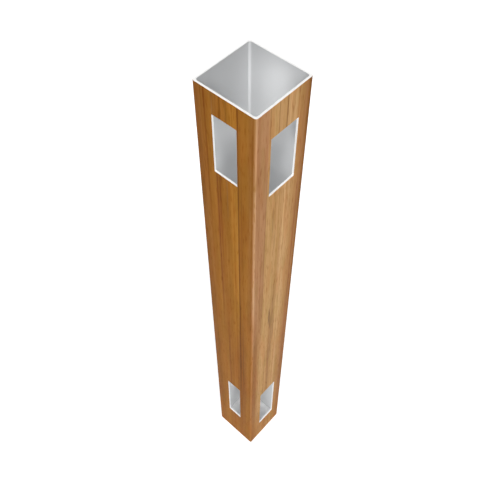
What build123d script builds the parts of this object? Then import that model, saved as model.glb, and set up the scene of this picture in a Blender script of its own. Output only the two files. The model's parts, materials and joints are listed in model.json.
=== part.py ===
"""Hollow vinyl corner post with a wood-grain film, routed for rails on two faces."""

import os

from build123d import *

# Post section, all lengths in millimetres
post_length = 1371.6
post_width = 127.0
vinyl_thickness = 3.8
outer_corner_radius = 4.8
inner_corner_radius = 4.4

# Printed film bonded to the outside of the white vinyl
film_thickness = 0.25

# Saw burr scraped off the outside edge of both ends
end_edge_break = 0.4

# Rail routes, each a rounded rectangle. Upper ones are placed by the drop from the top of
# the post to their head, lower ones by the height of their sill above its foot.
route_corner_radius = 1.6

front_upper_width = 51.0
front_upper_height = 127.0
front_upper_drop = 44.6

front_lower_width = 43.0
front_lower_height = 203.0
front_lower_sill = 143.0

side_upper_width = 64.0
side_upper_height = 134.0
side_upper_drop = 63.6

side_lower_width = 57.0
side_lower_height = 216.0
side_lower_sill = 95.0

# Side routes stand off the middle of their wall, away from the corner that both faces share
side_route_offset = 3.2

# Sizes that follow from the ones above
film_bed_width = post_width - 2 * film_thickness
bore_width = film_bed_width - 2 * vinyl_thickness
film_bed_radius = outer_corner_radius - film_thickness
front_upper_sill = post_length - front_upper_drop - front_upper_height
side_upper_sill = post_length - side_upper_drop - side_upper_height

# The two routed faces look along -Y and +X and share the corner between them
front_face = Plane.XZ.offset(post_width / 2)
side_face = Plane.YZ.offset(post_width / 2)


def square_prism(width, corner_radius):
    """Square bar with rounded long edges, standing on the foot of the post."""
    return extrude(RectangleRounded(width, width, corner_radius), post_length)


def rail_route(face, width, height, sill, off_middle=0.0):
    """Cutter for one route, from the outside of its wall to the middle of the post."""
    centre = Pos(off_middle, sill + height / 2)
    outline = centre * RectangleRounded(width, height, route_corner_radius)
    return extrude(face * outline, -post_width / 2)


def finished_post():
    """Solid bar of the post's outside size, with the saw burr off both ends."""
    bar = square_prism(post_width, outer_corner_radius)
    ends = bar.faces().sort_by(Axis.Z)
    return chamfer(ends[0].edges() + ends[-1].edges(), end_edge_break)


rail_routes = [
    rail_route(front_face, front_upper_width, front_upper_height, front_upper_sill),
    rail_route(front_face, front_lower_width, front_lower_height, front_lower_sill),
    rail_route(side_face, side_upper_width, side_upper_height, side_upper_sill, side_route_offset),
    rail_route(side_face, side_lower_width, side_lower_height, side_lower_sill, side_route_offset),
]

# The film lies on the bed, and the extrusion is the bed less the bore
film_bed = square_prism(film_bed_width, film_bed_radius)
bore = square_prism(bore_width, inner_corner_radius)
post_envelope = finished_post()

post_extrusion = (post_envelope & film_bed) - bore - rail_routes
woodgrain_film = post_envelope - film_bed - rail_routes

os.makedirs("parts", exist_ok=True)
export_step(post_extrusion, "parts/post_extrusion.step")
export_step(woodgrain_film, "parts/woodgrain_film.step")
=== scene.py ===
"""Wood-grain vinyl corner post: a hollow white extrusion in a printed film, routed for rails."""

import json
import math

import bpy
from mathutils import Matrix, Vector


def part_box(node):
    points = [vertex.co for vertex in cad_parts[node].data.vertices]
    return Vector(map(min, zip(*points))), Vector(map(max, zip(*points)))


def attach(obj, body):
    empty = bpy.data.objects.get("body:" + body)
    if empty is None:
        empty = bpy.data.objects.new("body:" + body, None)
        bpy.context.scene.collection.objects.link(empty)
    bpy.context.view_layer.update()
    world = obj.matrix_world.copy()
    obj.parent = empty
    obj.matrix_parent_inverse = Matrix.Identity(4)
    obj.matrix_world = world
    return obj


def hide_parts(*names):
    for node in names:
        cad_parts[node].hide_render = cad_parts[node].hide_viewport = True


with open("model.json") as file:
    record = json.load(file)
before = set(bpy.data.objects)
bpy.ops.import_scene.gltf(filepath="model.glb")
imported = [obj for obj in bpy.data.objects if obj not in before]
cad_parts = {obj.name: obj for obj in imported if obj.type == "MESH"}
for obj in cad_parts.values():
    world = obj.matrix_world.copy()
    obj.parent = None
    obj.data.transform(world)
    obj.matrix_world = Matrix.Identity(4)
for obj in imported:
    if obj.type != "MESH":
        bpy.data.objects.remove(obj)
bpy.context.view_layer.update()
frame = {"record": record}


# The white extrusion
# Rigid white vinyl pushed through a square die, so its wall is even and its corners are
# round inside and out. It is sawn to length, and its sharp inside edges are scraped.

extrusion_low, extrusion_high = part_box("post_extrusion")
extrusion_width = extrusion_high.x - extrusion_low.x
post_length = extrusion_high.z
film_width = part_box("woodgrain_film")[1].x * 2
vinyl_thickness = 0.0038
bore_width = extrusion_width - 2 * vinyl_thickness
film_thickness = (film_width - extrusion_width) / 2
film_corner_radius = 0.0048
bed_corner_radius = film_corner_radius - film_thickness
bore_corner_radius = 0.0044
corner_segments = 12
scraped_edge = 0.0002
edge_segments = 3
sharp_edge_angle = math.radians(60)
smooth_angle = math.radians(40)


def click(piece):
    """Selects one piece and nothing else."""
    bpy.ops.object.select_all(action="DESELECT")
    piece.select_set(True)
    bpy.context.view_layer.objects.active = piece


def rounded_square_loop(width, radius, height):
    """Adds a square loop of edges with round corners to the mesh that is being edited."""
    bpy.ops.mesh.select_all(action="DESELECT")
    bpy.ops.mesh.primitive_plane_add(size=width, location=(0, 0, height))
    bpy.ops.mesh.bevel(offset=radius, segments=corner_segments, affect="VERTICES")
    bpy.ops.mesh.delete(type="ONLY_FACE")


def square_tube(name, outside, outside_radius, inside, inside_radius, foot, head):
    """A die's opening, drawn at the foot and pushed up to the head as one tube."""
    bpy.ops.object.select_all(action="DESELECT")
    bpy.ops.mesh.primitive_plane_add(size=outside, location=(0, 0, foot))
    tube = bpy.context.object
    tube.name = tube.data.name = name
    bpy.ops.object.transform_apply(location=True, rotation=False, scale=False)
    bpy.ops.object.mode_set(mode="EDIT")
    bpy.ops.mesh.bevel(offset=outside_radius, segments=corner_segments, affect="VERTICES")
    bpy.ops.mesh.delete(type="ONLY_FACE")
    rounded_square_loop(inside, inside_radius, foot)
    bpy.ops.mesh.select_all(action="SELECT")
    bpy.ops.mesh.bridge_edge_loops()
    bpy.ops.mesh.extrude_region_move(TRANSFORM_OT_translate={"value": (0, 0, head - foot)})
    bpy.ops.mesh.select_all(action="SELECT")
    bpy.ops.mesh.normals_make_consistent(inside=False)
    bpy.ops.object.mode_set(mode="OBJECT")
    return tube


extrusion = square_tube(
    "white_vinyl_extrusion",
    extrusion_width,
    bed_corner_radius,
    bore_width,
    bore_corner_radius,
    0,
    post_length,
)

# The rail routes
# Four windows milled through the two walls that meet at the corner, two for each rail line.
# The cutter's own radius is left in their corners. Each one runs past both faces of the wall.

route_corner_radius = 0.0016
route_corner_segments = 6

# The record states each opening this much smaller all round than the route that is cut.
stated_clearance = 0.0005
nearly_parallel = 0.99


def router_pass(low, high):
    """The block that the cutter clears away for one rail."""
    middle = (low + high) / 2
    across = (high - low) + Vector((1, 1, 1)) * 2 * stated_clearance
    bpy.ops.object.select_all(action="DESELECT")
    bpy.ops.mesh.primitive_cube_add(size=1, location=middle)
    block = bpy.context.object
    block.scale = across
    bpy.ops.object.transform_apply(location=True, rotation=False, scale=True)
    through = 1 if abs(middle.y) > abs(middle.x) else 0
    for edge in block.data.edges:
        a, b = (block.data.vertices[v].co for v in edge.vertices)
        edge.select = abs((b - a).normalized()[through]) > nearly_parallel
    bpy.ops.object.mode_set(mode="EDIT")
    bpy.ops.mesh.select_mode(type="EDGE")
    bpy.ops.mesh.bevel(offset=route_corner_radius, segments=route_corner_segments)
    bpy.ops.object.mode_set(mode="OBJECT")
    return block


route_openings = [
    [Vector(corner) for corner in opening["box_m"]]
    for opening in frame["record"]["physics"]["openings"]
    if opening["name"].endswith("_route")
]
router_passes = [router_pass(low, high) for low, high in route_openings]


def mill_routes(piece):
    """Cuts all four rail routes through a piece."""
    click(piece)
    for block in router_passes:
        bpy.ops.object.modifier_add(type="BOOLEAN")
        cut = piece.modifiers[-1]
        cut.object = block
        cut.operation = "DIFFERENCE"
        cut.solver = "EXACT"
        bpy.ops.object.modifier_apply(modifier=cut.name)


mill_routes(extrusion)


def click_sharp_edges(piece, wanted):
    """Selects the sharp edges whose middle point is wanted, and leaves the piece in edit mode."""
    click(piece)
    bpy.ops.object.mode_set(mode="EDIT")
    bpy.ops.mesh.select_mode(type="EDGE")
    bpy.ops.mesh.select_all(action="DESELECT")
    bpy.ops.mesh.edges_select_sharp(sharpness=sharp_edge_angle)
    bpy.ops.object.mode_set(mode="OBJECT")
    for edge in piece.data.edges:
        a, b = (piece.data.vertices[v].co for v in edge.vertices)
        edge.select = edge.select and wanted((a + b) / 2)
    bpy.ops.object.mode_set(mode="EDIT")


def reach(point):
    """How far out a point lies, measured square to the nearer pair of walls."""
    return max(abs(point.x), abs(point.y))


def smooth_round_parts(piece):
    """Rounds shade smoothly and the flat walls stay flat."""
    bpy.ops.object.mode_set(mode="OBJECT")
    click(piece)
    bpy.ops.object.shade_smooth_by_angle(angle=smooth_angle)
    bpy.ops.object.modifier_add(type="WEIGHTED_NORMAL")
    piece.modifiers[-1].keep_sharp = True
    bpy.ops.object.modifier_apply(modifier=piece.modifiers[-1].name)


def on_an_end_or_in_the_bore(point):
    sawn = point.z < scraped_edge or point.z > post_length - scraped_edge
    return sawn or reach(point) < bore_width / 2 + scraped_edge


click_sharp_edges(extrusion, on_an_end_or_in_the_bore)
bpy.ops.mesh.bevel(offset=scraped_edge, segments=edge_segments)
smooth_round_parts(extrusion)


def step(material, kind, sources=(), **settings):
    """Adds one node to a material, feeds its sockets in order and returns its first output."""
    made = material.node_tree.nodes.new(kind)
    for name, value in settings.items():
        setattr(made, name, value)
    for socket, source in zip(made.inputs, sources):
        if isinstance(source, bpy.types.NodeSocket):
            material.node_tree.links.new(source, socket)
        else:
            socket.default_value = source
    return made.outputs[0]


def calc(material, operation, a, b=0.0, c=0.0):
    """One sum, product, comparison or the like of two or three values."""
    return step(material, "ShaderNodeMath", (a, b, c), operation=operation)


def fade(material, value, start, end, low=0.0, high=1.0):
    """Runs smoothly from low to high while the value goes from start to end."""
    sources = (value, start, end, low, high)
    return step(material, "ShaderNodeMapRange", sources, interpolation_type="SMOOTHSTEP")


def blend_colors(material, amount, under, over, how="MIX"):
    """Lays one colour over another."""
    made = material.node_tree.nodes.new("ShaderNodeMix")
    made.data_type = "RGBA"
    made.blend_type = how
    for socket, source in ((made.inputs[0], amount), (made.inputs[6], under), (made.inputs[7], over)):
        if isinstance(source, bpy.types.NodeSocket):
            material.node_tree.links.new(source, socket)
        else:
            socket.default_value = source
    return made.outputs[2]


def drawn_out(material, place, across, along, detail=2.0):
    """Noise stretched along the post, with so many spots to the metre each way."""
    stretched = step(material, "ShaderNodeMapping", (place, (0, 0, 0), (0, 0, 0), (across, across, along)))
    return step(material, "ShaderNodeTexNoise", (stretched, 0.0, 1.0, detail))


def tone(red, green, blue):
    """A colour as a screen shows it, from 0 to 255, turned into light."""
    shares = (value / 255 for value in (red, green, blue))
    light = [s / 12.92 if s <= 0.04045 else ((s + 0.055) / 1.055) ** 2.4 for s in shares]
    return (*light, 1.0)


white = bpy.data.materials.new("white_vinyl")
white.use_nodes = True
white_shader = white.node_tree.nodes["Principled BSDF"]
white_place = white.node_tree.nodes.new("ShaderNodeTexCoord").outputs["Object"]
white_axes = white.node_tree.nodes.new("ShaderNodeSeparateXYZ")
white.node_tree.links.new(white_place, white_axes.inputs[0])
saw_blade_centre = (0.31, -0.12, 0.0)
saw_mark_pitch = 0.0011
router_mark_pitch = 0.0009
cut_mark_relief = 0.25
white_bump_strength = 0.25
white_bump_height = 0.00005
skin_roughness = 0.36
extra_cut_roughness = 0.2
painted_highlight_corner_depth = 0.0026
# The bore's skin is painted grey rather than white: painted shade on white vinyl inside the bore, mottled
# between two greys.
painted_shade_skin_grey = tone(178, 179, 180)
painted_shade_light_skin_grey = tone(184, 185, 186)
painted_highlight_corner_grey = tone(195, 196, 197)
routed_white = tone(250, 250, 249)
sawn_white = tone(239, 239, 238)

die_lines = drawn_out(white, white_place, 420.0, 1.5)
from_blade = step(white, "ShaderNodeVectorMath", (white_place, saw_blade_centre), operation="DISTANCE")
from_blade = from_blade.node.outputs["Value"]
saw_marks = calc(white, "SINE", calc(white, "MULTIPLY", from_blade, math.tau / saw_mark_pitch))
router_marks = calc(white, "MULTIPLY", white_axes.outputs["Z"], math.tau / router_mark_pitch)
router_marks = calc(white, "SINE", router_marks)
from_middle = calc(white, "ABSOLUTE", calc(white, "SUBTRACT", white_axes.outputs["Z"], post_length / 2))
on_saw_cut = calc(white, "GREATER_THAN", from_middle, post_length / 2 - scraped_edge)
out_x = calc(white, "ABSOLUTE", white_axes.outputs["X"])
out_y = calc(white, "ABSOLUTE", white_axes.outputs["Y"])
in_the_wall = calc(white, "GREATER_THAN", calc(white, "MAXIMUM", out_x, out_y), bore_width / 2 + scraped_edge)
on_router_cut = calc(white, "SUBTRACT", in_the_wall, on_saw_cut)
on_router_cut.node.use_clamp = True
nearer_in = calc(white, "MINIMUM", out_x, out_y)
# A paler grey along the round inside corners of the bore is a painted highlight.
corner_start, corner_end = bore_width / 2 - bore_corner_radius, bore_width / 2 - painted_highlight_corner_depth
painted_highlight_in_the_corners = fade(white, nearer_in, corner_start, corner_end)
white_mottle = drawn_out(white, white_place, 14.0, 3.0)
painted_light_skin_color = blend_colors(white, white_mottle, painted_shade_skin_grey, painted_shade_light_skin_grey)
painted_light_skin_color = blend_colors(white, painted_highlight_in_the_corners, painted_light_skin_color, painted_highlight_corner_grey)
# The cut faces keep the vinyl's own white; the grey skin beside them is painted shade.
freshly_cut = calc(white, "MAXIMUM", on_saw_cut, in_the_wall)
white_color = blend_colors(white, freshly_cut, painted_light_skin_color, routed_white)
white_color = blend_colors(white, on_saw_cut, white_color, sawn_white)
white.node_tree.links.new(white_color, white_shader.inputs["Base Color"])
sawn_relief = calc(white, "MULTIPLY", on_saw_cut, cut_mark_relief)
routed_relief = calc(white, "MULTIPLY", on_router_cut, cut_mark_relief)
white_relief = calc(white, "MULTIPLY_ADD", saw_marks, sawn_relief, die_lines)
white_relief = calc(white, "MULTIPLY_ADD", router_marks, routed_relief, white_relief)
white_bump = step(white, "ShaderNodeBump", (white_bump_strength, white_bump_height))
white.node_tree.links.new(white_relief, white_bump.node.inputs["Height"])
white.node_tree.links.new(white_bump, white_shader.inputs["Normal"])
cut_roughness = calc(white, "MULTIPLY_ADD", freshly_cut, extra_cut_roughness, skin_roughness)
white.node_tree.links.new(cut_roughness, white_shader.inputs["Roughness"])

extrusion.data.materials.clear()
extrusion.data.materials.append(white)
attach(extrusion, "root")
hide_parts("post_extrusion")

# The film
# A printed brown vinyl film, a quarter of a millimetre thick, bonded round the outside before
# the routes are cut. Its cut edge shows as a thin brown line against the white wall.

film_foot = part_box("woodgrain_film")[0].z
film_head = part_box("woodgrain_film")[1].z
trimmed_edge = 0.00006

film = square_tube(
    "printed_woodgrain_film",
    film_width,
    film_corner_radius,
    extrusion_width,
    bed_corner_radius,
    film_foot,
    film_head,
)
corner_centre = film_width / 2 - film_corner_radius
for vertex in film.data.vertices:
    past_x = max(abs(vertex.co.x) - corner_centre, 0)
    past_y = max(abs(vertex.co.y) - corner_centre, 0)
    vertex.select = math.hypot(past_x, past_y) > film_corner_radius - film_thickness / 2
for end, inward in ((film_foot, film_thickness), (film_head, -film_thickness)):
    outer = [v for v in film.data.vertices if v.select and abs(v.co.z - end) < film_thickness / 2]
    for vertex in outer:
        vertex.co.z += inward
mill_routes(film)
click_sharp_edges(film, lambda point: reach(point) > film_width / 2 - trimmed_edge)
bpy.ops.mesh.bevel(offset=trimmed_edge, segments=edge_segments)
smooth_round_parts(film)
for block in router_passes:
    bpy.data.objects.remove(block)

wood = bpy.data.materials.new("printed_woodgrain")
wood.use_nodes = True
wood_shader = wood.node_tree.nodes["Principled BSDF"]
wood_place = wood.node_tree.nodes.new("ShaderNodeTexCoord").outputs["Object"]
wood_axes = wood.node_tree.nodes.new("ShaderNodeSeparateXYZ")
wood.node_tree.links.new(wood_place, wood_axes.inputs[0])
wood_x, wood_y, wood_z = wood_axes.outputs

# Across the two routed walls the print is measured round the corner that they share, so a
# negative distance lies on the front wall and a positive one on the side wall. The two plain
# walls are measured the same way round theirs. The grain wanders a little on its way up.
band_wander = 0.008
line_wander = 0.003
wander = calc(wood, "SUBTRACT", drawn_out(wood, wood_place, 9.0, 2.2, 1.0), 0.5)
round_corner = calc(wood, "ADD", wood_x, wood_y)
across_bands = calc(wood, "MULTIPLY_ADD", wander, band_wander, round_corner)
across_lines = calc(wood, "MULTIPLY_ADD", wander, line_wander, round_corner)
on_routed_walls = calc(wood, "GREATER_THAN", calc(wood, "SUBTRACT", wood_x, wood_y), 0.0)
on_plain_walls = calc(wood, "SUBTRACT", 1.0, on_routed_walls)

# The dark brown at the two far corners, 121 to 127 mm round, is painted shade where the round corners turn
# from the light.
painted_shade_edge_brown = tone(137, 89, 40)
dull_brown = tone(145, 93, 36)
brown = tone(150, 96, 33)
honey = tone(156, 102, 37)
golden = tone(166, 111, 40)
russet = tone(139, 83, 26)
rose_brown = tone(173, 126, 86)
# The tans of the side wall are print made paler and less saturated than the front: partly the print, partly a
# painted sheen on that wall.
walnut = tone(172, 125, 76)
tan_print_and_painted_sheen = tone(186, 143, 92)
pale_tan_print_and_painted_sheen = tone(193, 151, 102)
mid_tan_print_and_painted_sheen = tone(191, 149, 99)
far_tan_print_and_painted_sheen = tone(179, 135, 85)
# The pale tan just past the shared corner, in the upper bands only, is a painted highlight along that corner.
painted_highlight_corner_tan = tone(192, 150, 112)
corner_brown = tone(160, 108, 62)
dim_brown = tone(150, 100, 54)
soft_brown = tone(150, 99, 46)
far_brown = tone(160, 110, 67)
dark_brown = tone(96, 52, 12)
red_brown = tone(128, 70, 26)
smoky_brown = tone(122, 90, 62)
warm_brown = tone(160, 103, 36)
red_mottle = tone(248, 212, 190)
olive_mottle = tone(222, 226, 190)


def band_ramp(stops):
    """The broad bands of the print: a colour for each distance across it, in millimetres."""
    made = wood.node_tree.nodes.new("ShaderNodeValToRGB")
    made.color_ramp.interpolation = "EASE"
    share = fade(wood, across_bands, -film_width, film_width)
    share.node.interpolation_type = "LINEAR"
    wood.node_tree.links.new(share, made.inputs[0])
    elements = made.color_ramp.elements
    elements[0].position, elements[1].position = 0.0, 1.0
    elements[0].color, elements[1].color = stops[0][1], stops[-1][1]
    for distance, color in stops[1:-1]:
        element = elements.new(0.5 + distance / 1000 / (2 * film_width))
        element.color = color
    return made.outputs[0]


# The stops on the side wall, at positive distances, are paler than those on the front wall: print with a
# painted sheen on that side.
upper_bands = band_ramp(
    (
        (-127, painted_shade_edge_brown),
        (-121, painted_shade_edge_brown),
        (-108, dull_brown),
        (-98, brown),
        (-90, honey),
        (-84, dull_brown),
        (-76, brown),
        (-62, honey),
        (-50, golden),
        (-39, golden),
        (-34, brown),
        (-20, honey),
        (-5, soft_brown),
        (2.2, painted_highlight_corner_tan),
        (6, rose_brown),
        (14, rose_brown),
        (28, rose_brown),
        (34, tan_print_and_painted_sheen),
        (46, tan_print_and_painted_sheen),
        (55, mid_tan_print_and_painted_sheen),
        (66, far_tan_print_and_painted_sheen),
        (74, pale_tan_print_and_painted_sheen),
        (88, pale_tan_print_and_painted_sheen),
        (98, far_tan_print_and_painted_sheen),
        (106, walnut),
        (114, far_brown),
        (122, painted_shade_edge_brown),
        (127, painted_shade_edge_brown),
    )
)
lower_bands = band_ramp(
    (
        (-127, painted_shade_edge_brown),
        (-121, painted_shade_edge_brown),
        (-110, dull_brown),
        (-98, brown),
        (-80, honey),
        (-75, dull_brown),
        (-62, brown),
        (-50, honey),
        (-42, dull_brown),
        (-32, russet),
        (-25, dull_brown),
        (-14, honey),
        (-6, brown),
        (0, corner_brown),
        (4, dim_brown),
        (13, dim_brown),
        (20, walnut),
        (29, tan_print_and_painted_sheen),
        (48, tan_print_and_painted_sheen),
        (56, walnut),
        (66, far_tan_print_and_painted_sheen),
        (76, tan_print_and_painted_sheen),
        (84, pale_tan_print_and_painted_sheen),
        (92, far_tan_print_and_painted_sheen),
        (100, walnut),
        (112, far_brown),
        (127, painted_shade_edge_brown),
    )
)
plain_bands = band_ramp(
    (
        (-127, painted_shade_edge_brown),
        (-116, brown),
        (-101, honey),
        (-93, golden),
        (-84, walnut),
        (-76, walnut),
        (-71, golden),
        (-60, honey),
        (-48, brown),
        (-40, dull_brown),
        (-28, honey),
        (-14, golden),
        (0, brown),
        (16, dull_brown),
        (30, golden),
        (48, honey),
        (54, brown),
        (74, dull_brown),
        (90, golden),
        (108, honey),
        (127, painted_shade_edge_brown),
    )
)
lower_bands_end, upper_bands_start = 0.53, 0.88
higher_up = fade(wood, wood_z, lower_bands_end, upper_bands_start)
wood_color = blend_colors(wood, higher_up, lower_bands, upper_bands)
wood_color = blend_colors(wood, on_plain_walls, wood_color, plain_bands)


def streak(distance, half_width, low, high, low_fade, high_fade, strength):
    """Where one streak of the print lies. All its sizes are in millimetres."""
    off_line = calc(wood, "ABSOLUTE", calc(wood, "SUBTRACT", across_lines, distance / 1000))
    beside = fade(wood, off_line, 0.0, half_width / 1000, strength, 0.0)
    above = fade(wood, wood_z, (low - low_fade) / 1000, low / 1000)
    below = fade(wood, wood_z, high / 1000, (high + high_fade) / 1000, 1.0, 0.0)
    return calc(wood, "MULTIPLY", beside, calc(wood, "MULTIPLY", above, below))


def all_streaks(walls, rows):
    """The strongest of several streaks at each place, on one pair of walls."""
    strongest = 0.0
    for row in rows:
        strongest = calc(wood, "MAXIMUM", strongest, streak(*row))
    return calc(wood, "MULTIPLY", strongest, walls)


red_streaks = all_streaks(
    on_routed_walls,
    (
        (-84.0, 2.8, 880, 1190, 160, 20, 0.80),
        (-78.0, 2.2, 1010, 1190, 160, 20, 0.66),
        (-104.0, 2.6, 1180, 1372, 160, 20, 0.45),
        (-73.0, 3.6, 330, 560, 120, 160, 0.50),
        (-24.0, 2.4, 180, 420, 100, 160, 0.35),
        (20.0, 2.6, 760, 960, 90, 90, 0.30),
        (112.0, 2.6, 820, 1060, 120, 140, 0.45),
        (47.0, 3.0, 300, 520, 120, 90, 0.35),
    ),
)
wood_color = blend_colors(wood, red_streaks, wood_color, red_brown)
smoky_streaks = all_streaks(
    on_routed_walls,
    (
        (54.0, 4.2, 724, 756, 34, 30, 0.85),
        (59.0, 3.0, 690, 716, 24, 40, 0.70),
        (70.0, 2.6, 640, 700, 50, 50, 0.60),
        (64.0, 8.0, 560, 800, 90, 90, 0.30),
        (60.0, 6.0, 380, 560, 70, 60, 0.34),
        (50.0, 2.4, 1070, 1120, 24, 24, 0.40),
        (57.0, 2.4, 1010, 1040, 24, 24, 0.30),
        (-62.0, 2.4, 1130, 1198, 50, 10, 0.40),
        (-88.0, 3.2, 1325, 1372, 20, 10, 0.35),
    ),
)
wood_color = blend_colors(wood, smoky_streaks, wood_color, smoky_brown)
dark_streaks = all_streaks(
    on_routed_walls,
    (
        (-36.5, 2.6, 440, 1372, 60, 20, 0.80),
        (-37.5, 4.2, 380, 640, 60, 160, 0.62),
        (-28.5, 2.8, 360, 640, 80, 150, 0.52),
        (-29.5, 1.6, 1000, 1200, 80, 60, 0.36),
        (-72.0, 2.2, 1325, 1372, 20, 20, 0.55),
        (-60.0, 1.8, 1325, 1372, 20, 20, 0.36),
        (32.5, 1.8, 1308, 1372, 20, 20, 0.40),
        (52.0, 1.8, 1308, 1372, 20, 20, 0.34),
        (70.0, 2.2, 1308, 1372, 20, 20, 0.60),
        (29.0, 2.0, 880, 1230, 120, 20, 0.26),
    ),
)
wood_color = blend_colors(wood, dark_streaks, wood_color, dark_brown)
plain_streaks = all_streaks(
    on_plain_walls,
    (
        (-96.0, 1.5, 240, 1150, 160, 120, 0.60),
        (-46.0, 2.2, 0, 820, 20, 260, 0.45),
        (-38.0, 1.3, 520, 1372, 200, 20, 0.40),
        (-62.0, 2.6, 600, 760, 120, 90, 0.50),
        (20.0, 1.5, 90, 1020, 90, 120, 0.55),
        (58.0, 1.6, 420, 1372, 160, 20, 0.60),
        (66.0, 2.6, 260, 620, 90, 200, 0.35),
        (100.0, 1.8, 0, 700, 20, 220, 0.40),
    ),
)
wood_color = blend_colors(wood, plain_streaks, wood_color, dark_brown)

# Near the foot the print turns warmer and deeper, so the painted sheen of the paler walls fades out
# downwards.
warm_foot_height, warm_foot_end, warm_foot_share = 0.06, 0.26, 0.5
foot_clear_of_painted_sheen = fade(wood, wood_z, warm_foot_height, warm_foot_end, warm_foot_share, 0.0)
wood_color = blend_colors(wood, foot_clear_of_painted_sheen, wood_color, warm_brown)

reddish = fade(wood, drawn_out(wood, wood_place, 48.0, 6.0, 3.0), 0.48, 0.66, 0.0, 0.30)
wood_color = blend_colors(wood, reddish, wood_color, red_mottle, "MULTIPLY")
olive = fade(wood, drawn_out(wood, wood_place, 70.0, 9.0, 3.0), 0.36, 0.52, 0.34, 0.0)
wood_color = blend_colors(wood, olive, wood_color, olive_mottle, "MULTIPLY")

# Long lines, broad and fine grain, short flecks and pores make one grain, which takes more
# green and blue than red out of the brown.
growth_lines = fade(wood, drawn_out(wood, wood_place, 210.0, 1.1, 1.0), 0.50, 0.72)
pale_lines = fade(wood, drawn_out(wood, wood_place, 160.0, 1.6, 1.0), 0.52, 0.74)
wide_grain = drawn_out(wood, wood_place, 110.0, 2.4)
fine_grain = drawn_out(wood, wood_place, 620.0, 13.0, 3.0)
flecks = fade(wood, drawn_out(wood, wood_place, 330.0, 34.0, 1.0), 0.56, 0.70)
pores = fade(wood, drawn_out(wood, wood_place, 1500.0, 55.0), 0.58, 0.70)
grain = calc(wood, "MULTIPLY_ADD", wide_grain, 0.20, calc(wood, "MULTIPLY", fine_grain, 0.22))
grain = calc(wood, "MULTIPLY_ADD", growth_lines, -0.12, grain)
grain = calc(wood, "MULTIPLY_ADD", pale_lines, 0.08, grain)
grain = calc(wood, "MULTIPLY_ADD", flecks, -0.17, grain)
grain = calc(wood, "MULTIPLY_ADD", pores, -0.07, grain)
grain = calc(wood, "ADD", grain, 0.83)
deep_grain = calc(wood, "POWER", grain, 1.5)
# Less blue is taken out on the side wall and the wall behind it than on the front: a painted sheen that pales
# those walls.
front_blue_depth, side_blue_depth_painted_sheen = 3.6, 1.9
blue_depth_with_painted_sheen = fade(wood, round_corner, -0.004, 0.004, front_blue_depth, side_blue_depth_painted_sheen)
deepest_grain = calc(wood, "POWER", grain, blue_depth_with_painted_sheen)
graded = step(wood, "ShaderNodeCombineXYZ", (grain, deep_grain, deepest_grain))
wood_color = blend_colors(wood, 1.0, wood_color, graded, "MULTIPLY")
wood.node_tree.links.new(wood_color, wood_shader.inputs["Base Color"])

wood_bump_strength = 0.3
wood_bump_height = 0.00006
film_roughness = 0.40
film_sheen = 0.014
wood_relief = calc(wood, "MULTIPLY_ADD", pores, -0.6, fine_grain)
wood_bump = step(wood, "ShaderNodeBump", (wood_bump_strength, wood_bump_height))
wood.node_tree.links.new(wood_relief, wood_bump.node.inputs["Height"])
wood.node_tree.links.new(wood_bump, wood_shader.inputs["Normal"])
wood_roughness = calc(wood, "MULTIPLY_ADD", fine_grain, 0.12, film_roughness)
wood.node_tree.links.new(wood_roughness, wood_shader.inputs["Roughness"])
wood_shader.inputs["Specular IOR Level"].default_value = film_sheen

film.data.materials.clear()
film.data.materials.append(wood)
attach(film, "root")
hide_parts("woodgrain_film")

# The floor and the light
# A plain white floor that keeps a faint shadow, in a pale room. One broad soft lamp stands in
# front of the corner between the routed walls and a weaker one behind the post, and small
# lamps inside the bore light its white walls evenly down to the foot.

bpy.ops.object.select_all(action="DESELECT")
bpy.ops.mesh.primitive_plane_add(size=60, location=(0, 0, 0))
floor = bpy.context.object
floor.name = "studio_floor"
paper = bpy.data.materials.new("floor_paper")
paper.use_nodes = True
paper_shader = paper.node_tree.nodes["Principled BSDF"]
paper_shader.inputs["Base Color"].default_value = (0.8, 0.8, 0.8, 1)
paper_shader.inputs["Roughness"].default_value = 0.9
paper_shader.inputs["Specular IOR Level"].default_value = 0.0
paper_shader.inputs["Emission Color"].default_value = (1, 1, 1, 1)
paper_lift = 0.45
bore_middle_painted_light = 0.10
bore_edge_painted_light = 0.22
bore_floor_middle = 0.025
paper_rays = paper.node_tree.nodes.new("ShaderNodeLightPath").outputs
seen_directly = calc(paper, "MAXIMUM", paper_rays["Is Camera Ray"], paper_rays["Is Glossy Ray"])
seen_directly = calc(paper, "MAXIMUM", seen_directly, paper_rays["Is Transmission Ray"])
paper_place = paper.node_tree.nodes.new("ShaderNodeTexCoord").outputs["Object"]
paper_axes = paper.node_tree.nodes.new("ShaderNodeSeparateXYZ")
paper.node_tree.links.new(paper_place, paper_axes.inputs[0])
from_post = calc(
    paper,
    "MAXIMUM",
    calc(paper, "ABSOLUTE", paper_axes.outputs["X"]),
    calc(paper, "ABSOLUTE", paper_axes.outputs["Y"]),
)
outside_post = calc(paper, "GREATER_THAN", from_post, extrusion_width / 2)
# Inside the post's foot the floor glows too, more towards the walls: painted light that hides the shade in
# the crease between floor and walls.
painted_light_by_the_walls = fade(paper, from_post, bore_floor_middle, bore_width / 2, bore_middle_painted_light, bore_edge_painted_light)
paper_glow_and_bore_painted_light = calc(paper, "MAXIMUM", calc(paper, "MULTIPLY", outside_post, paper_lift), painted_light_by_the_walls)
paper_glow_and_bore_painted_light = calc(paper, "MULTIPLY", seen_directly, paper_glow_and_bore_painted_light)
paper.node_tree.links.new(paper_glow_and_bore_painted_light, paper_shader.inputs["Emission Strength"])
floor.data.materials.append(paper)

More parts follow.
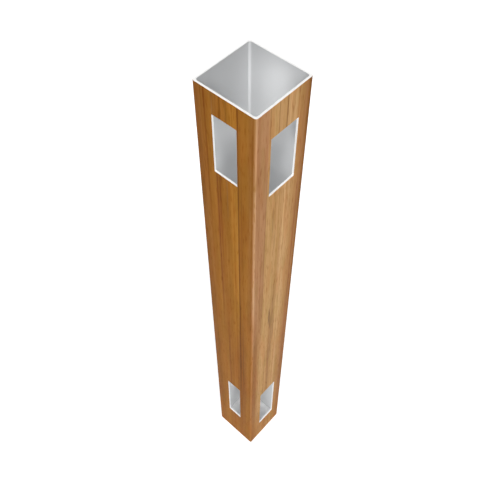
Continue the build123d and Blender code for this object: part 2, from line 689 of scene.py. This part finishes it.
room_light = 0.2
room = bpy.data.worlds.new("pale_room")
room.use_nodes = True
bpy.context.scene.world = room
room_glow = room.node_tree.nodes["Background"]
room_glow.inputs["Color"].default_value = (1, 1, 1, 1)
room_rays = room.node_tree.nodes.new("ShaderNodeLightPath").outputs
room_seen = calc(room, "MAXIMUM", room_rays["Is Camera Ray"], room_rays["Is Glossy Ray"])
room_seen = calc(room, "MAXIMUM", room_seen, room_rays["Is Transmission Ray"])
room_strength = room.node_tree.nodes.new("ShaderNodeMapRange")
room_strength.inputs["To Min"].default_value = room_light
room_strength.inputs["To Max"].default_value = 1.0
room.node_tree.links.new(room_seen, room_strength.inputs["Value"])
room.node_tree.links.new(room_strength.outputs[0], room_glow.inputs["Strength"])


def soft_sun(name, azimuth, elevation, energy, breadth):
    """A far, broad lamp that shines from one side of the sky."""
    azimuth, elevation = math.radians(azimuth), math.radians(elevation)
    level = math.cos(elevation)
    to_lamp = Vector((level * math.cos(azimuth), level * math.sin(azimuth), math.sin(elevation)))
    turn = to_lamp.to_track_quat("Z", "Y").to_euler()
    bpy.ops.object.light_add(type="SUN", location=to_lamp * 3, rotation=turn)
    made = bpy.context.object
    made.name = name
    made.data.energy = energy
    made.data.angle = math.radians(breadth)


soft_sun("front_lamp", -45, 45, 3.05, 45)
soft_sun("back_lamp", 135, 28, 0.95, 60)


def bore_lamp(name, x, y, facing, foot, head, energy):
    """A slim upright lamp inside the bore, which keeps the white walls in there even."""
    turn = Vector(facing).to_track_quat("-Z", "Y").to_euler()
    bpy.ops.object.light_add(type="AREA", location=(x, y, (foot + head) / 2), rotation=turn)
    made = bpy.context.object
    made.name = name
    made.data.shape = "RECTANGLE"
    made.data.size = bore_lamp_width
    made.data.size_y = head - foot
    made.data.energy = energy
    made.data.spread = bore_lamp_spread
    made.visible_camera = False


bore_lamp_width = 0.012
bore_lamp_spread = math.radians(110)
bore_lamp("blind_wall_lamp", -0.02, -0.036, (-1, 0, 0), 0.015, 1.275, 0.124)
bore_lamp("back_wall_lamp", 0.044, 0.02, (0, 1, 0), 0.015, 1.23, 0.10)
bore_lamp("back_corner_lamp", 0.04, -0.04, (-1, 1, 0), 0.25, 1.17, 0.158)
bore_lamp("upper_corner_lamp", 0.008, -0.008, (-1, 1, 0), 1.19, 1.26, 0.0145)
bore_lamp("bore_mouth_lamp", 0.002, -0.014, (0, 1, 0), 1.24, 1.37, 0.0245)

# One flat lamp lies on the floor inside the foot and shines up.
foot_lamp_width = 0.118
foot_lamp_height = 0.0005
bpy.ops.object.light_add(type="AREA", location=(0, 0, foot_lamp_height), rotation=(math.pi, 0, 0))
foot_lamp = bpy.context.object
foot_lamp.name = "bore_foot_lamp"
foot_lamp.data.size = foot_lamp_width
foot_lamp.data.energy = 0.024
foot_lamp.visible_camera = False

# The camera
# It looks down on the post from in front of the shared corner, high enough to see into the
# bore, and is turned a little so that the post leans as it does in the picture.

camera_place = Vector((0.48475, -0.54896, 1.98928))
camera_heading = math.radians(133.15)
camera_dip = math.radians(54.49)
camera_roll = math.radians(-0.79)
sight = Vector(
    (
        math.cos(camera_dip) * math.cos(camera_heading),
        math.cos(camera_dip) * math.sin(camera_heading),
        -math.sin(camera_dip),
    )
)
level_right = sight.cross(Vector((0, 0, 1))).normalized()
level_up = level_right.cross(sight)
right = math.cos(camera_roll) * level_right + math.sin(camera_roll) * level_up
up = math.cos(camera_roll) * level_up - math.sin(camera_roll) * level_right
bpy.ops.object.camera_add()
camera = bpy.context.object
camera.matrix_world = Matrix.Translation(camera_place) @ Matrix((right, up, -sight)).transposed().to_4x4()
camera.data.sensor_width = 36.0
camera.data.lens = 47.826
bpy.context.scene.camera = camera
bpy.context.scene.view_settings.view_transform = "Standard"
bpy.context.scene.cycles.diffuse_bounces = 12
